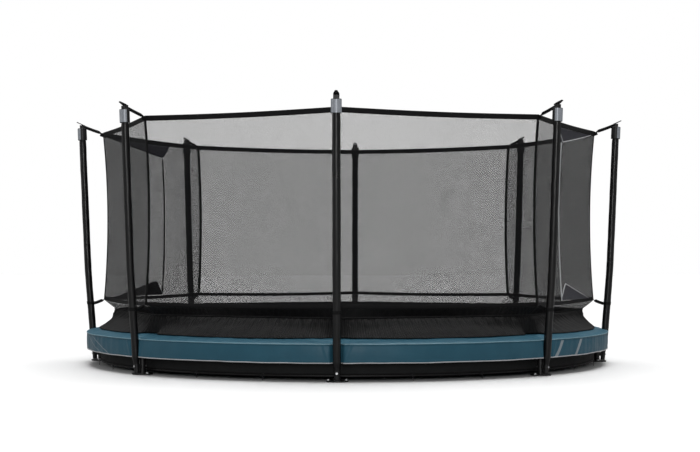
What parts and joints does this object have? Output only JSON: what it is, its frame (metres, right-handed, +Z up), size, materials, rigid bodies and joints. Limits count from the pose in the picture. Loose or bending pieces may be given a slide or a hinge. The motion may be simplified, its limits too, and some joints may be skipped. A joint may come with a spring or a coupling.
{
  "type": "trampoline",
  "caption": "Low round trampoline with sprung mat, padded rim, leaning padded poles and an octagonal net enclosure with net doors.",
  "frame": {"origin": "on the ground under the centre of the jumping mat", "axes": "+Z up; leg 1 stands on -Y, legs are numbered anticlockwise seen from above"},
  "size_m": [4.574, 4.574, 2.0081],
  "materials": {
    "black_steel": "black powder coat",
    "bolt_steel": "bright zinc",
    "spring_steel": "zinc-plated wire",
    "sleeve_fabric": "black satin-faced polyester over foam",
    "cap_plastic": "moulded black plastic",
    "reflector": "silver-grey",
    "spacer_plastic": "moulded black plastic",
    "strap_webbing": "black woven webbing",
    "net_mesh": "fine black knitted mesh",
    "skirt_cloth": "gathered black cloth",
    "piping_white": "white piping cord",
    "pad_vinyl": "teal coated cloth over foam",
    "pad_piping": "silver-white piping",
    "wall_cloth": "dark woven cloth",
    "mat_mesh": "woven polypropylene"
  },
  "bodies": {
    "frame": {"rail_1": "black_steel", "rail_2": "black_steel", "rail_3": "black_steel", "rail_4": "black_steel", "rail_5": "black_steel", "rail_6": "black_steel", "rail_7": "black_steel", "rail_8": "black_steel", "leg_1": "black_steel", "leg_2": "black_steel", "leg_3": "black_steel", "leg_4": "black_steel", "leg_5": "black_steel", "leg_6": "black_steel", "leg_7": "black_steel", "leg_8": "black_steel", "foot_plates": "black_steel", "lower_pole_tubes": "black_steel", "upper_pole_tubes": "black_steel", "ground_pegs": "black_steel", "foot_bolts": "bolt_steel", "pole_bolts": "bolt_steel", "pole_nuts": "bolt_steel", "springs": "spring_steel", "foam_sleeves": "sleeve_fabric", "cap_sleeves": "cap_plastic", "net_hooks": "cap_plastic", "hem_rods": "cap_plastic", "cap_reflectors": "reflector", "pole_spacers": "spacer_plastic", "top_straps": "strap_webbing", "lower_ties": "strap_webbing", "net_top_band": "strap_webbing", "net_lower_band": "strap_webbing", "net_hem": "strap_webbing", "corner_webbing": "strap_webbing", "door_gussets": "strap_webbing", "net_panels": "net_mesh", "net_lower_mesh": "net_mesh", "door_surrounds": "net_mesh", "net_skirt": "skirt_cloth", "net_inner_skirt": "skirt_cloth", "gusset_piping": "piping_white", "pad_panels": "pad_vinyl", "pad_sides": "pad_vinyl", "pad_piping": "pad_piping", "ground_wall": "wall_cloth"},
    "mat_body": {"mat": "mat_mesh", "mat_webbing": "strap_webbing", "v_rings": "spring_steel"},
    "door_a": {"door_net_a": "net_mesh", "door_piping_a": "piping_white", "door_patch_a": "strap_webbing"},
    "door_b": {"door_net_b": "net_mesh", "door_piping_b": "piping_white", "door_patch_b": "strap_webbing"}
  },
  "joints": [
    {"name": "mat_bounce", "type": "slide", "parent": "frame", "child": "mat_body", "axis": [0, 0, -1], "range_m": [0, 0.15], "stiffness_N_per_m": 8000, "springref_m": -0.04, "deforming": ["springs", "net_inner_skirt"]},
    {"name": "door_a_swing", "type": "hinge", "parent": "frame", "child": "door_a", "pos_m": [2.03076, -0.07321, 1.2], "axis": [0, 0, 1], "range_deg": [0, 60]},
    {"name": "door_b_swing", "type": "hinge", "parent": "frame", "child": "door_b", "pos_m": [-2.03076, 0.07321, 1.2], "axis": [0, 0, 1], "range_deg": [0, 60]}
  ]
}
